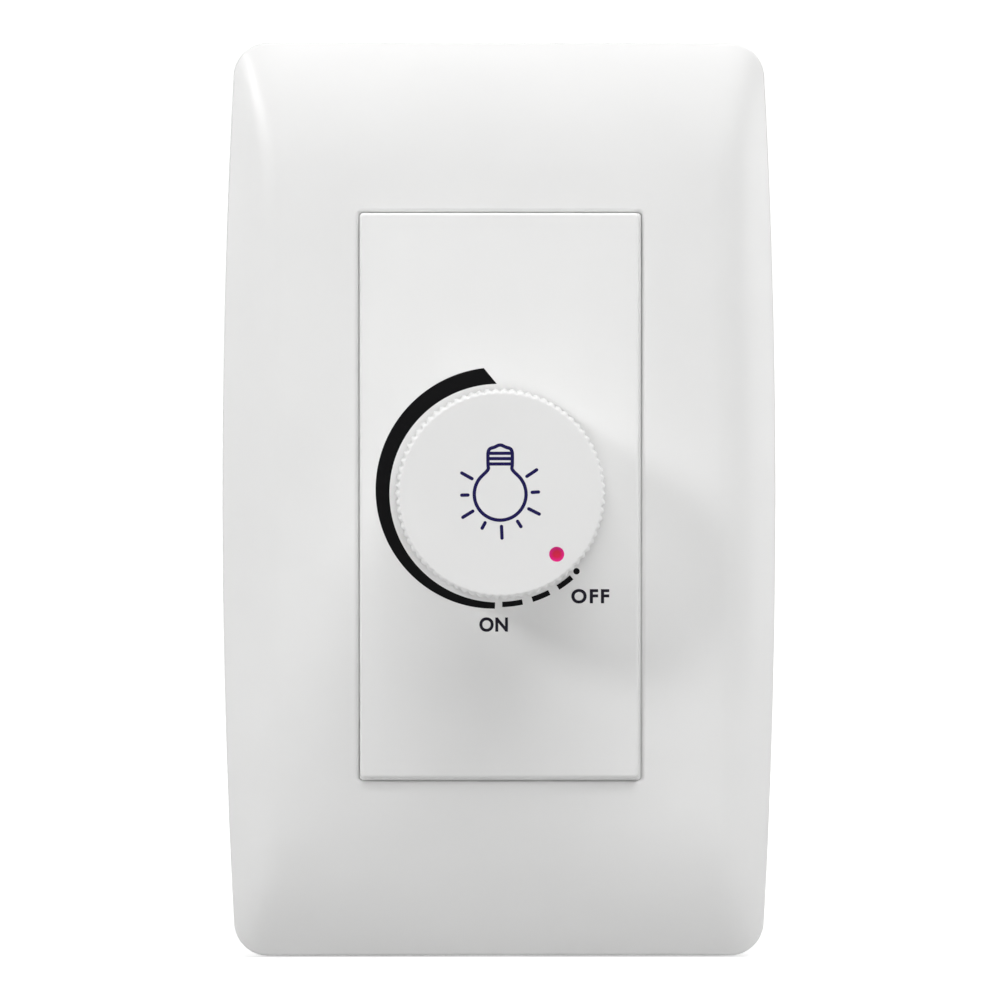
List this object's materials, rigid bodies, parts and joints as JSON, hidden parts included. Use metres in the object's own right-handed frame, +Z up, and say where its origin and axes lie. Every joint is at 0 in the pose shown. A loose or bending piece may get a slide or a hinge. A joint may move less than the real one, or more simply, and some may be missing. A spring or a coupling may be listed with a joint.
{
  "type": "rotary dimmer switch",
  "caption": "Flush wall dimmer: a crowned face plate snaps on a frame that holds a module with a round fluted knob, which turns from off through full brightness.",
  "frame": {"origin": "midway between the two box screw slots, on the wall plane", "axes": "+X right seen from the room, +Y into the wall, +Z up; the room is on the -Y side"},
  "size_m": [0.0726, 0.0489, 0.12],
  "materials": {
    "plate_plastic": "satin moulded white",
    "panel_plastic": "satin moulded white",
    "knob_plastic": "fine matte moulded white",
    "frame_plastic": "matte moulded grey",
    "housing_plastic": "matte moulded charcoal",
    "zinc_screws": "zinc plated",
    "sink_aluminium": "rolled sheet",
    "plated_bushing": "nickel plated",
    "pot_plastic": "black phenolic",
    "carbon_track": "printed carbon",
    "rotor_plastic": "natural nylon",
    "spring_brass": "spring temper",
    "shaft_aluminium": "turned",
    "tinned_lugs": "tinned",
    "board_laminate": "paper laminate",
    "choke_powder": "painted iron powder",
    "enamelled_copper": "enamelled copper",
    "capacitor_box": "moulded box",
    "capacitor_dip": "dipped",
    "resistor_coat": "lacquered",
    "diac_coat": "lacquered",
    "fuse_glass": "clear tube",
    "triac_epoxy": "moulded epoxy",
    "terminal_brass": "machined"
  },
  "bodies": {
    "housing": {"face_plate": "plate_plastic", "support_frame": "frame_plastic", "front_panel": "panel_plastic", "rear_housing": "housing_plastic", "housing_screws": "zinc_screws", "heat_sink": "sink_aluminium", "pot_bushing": "plated_bushing", "lock_washer": "plated_bushing", "pot_nut": "plated_bushing", "pot_body": "pot_plastic", "resistive_track": "carbon_track", "pot_lugs": "tinned_lugs", "switch_can": "pot_plastic", "switch_blade": "spring_brass", "switch_contact": "spring_brass", "circuit_board": "board_laminate", "choke_core": "choke_powder", "choke_winding": "enamelled_copper", "film_capacitor": "capacitor_box", "timing_capacitor": "capacitor_dip", "resistors": "resistor_coat", "diac": "diac_coat", "fuse_tube": "fuse_glass", "fuse_caps": "tinned_lugs", "triac": "triac_epoxy", "triac_rivet": "sink_aluminium", "terminal_cages": "terminal_brass", "terminal_screws": "zinc_screws"},
    "knob": {"knob": "knob_plastic", "pot_shaft": "shaft_aluminium", "pot_rotor": "rotor_plastic", "wiper": "spring_brass", "switch_cam": "rotor_plastic"}
  },
  "joints": [
    {"name": "knob_turn", "type": "hinge", "parent": "housing", "child": "knob", "pos_m": [0, -0.009, 0.001], "axis": [0, 1, 0], "range_deg": [0, 225]}
  ]
}
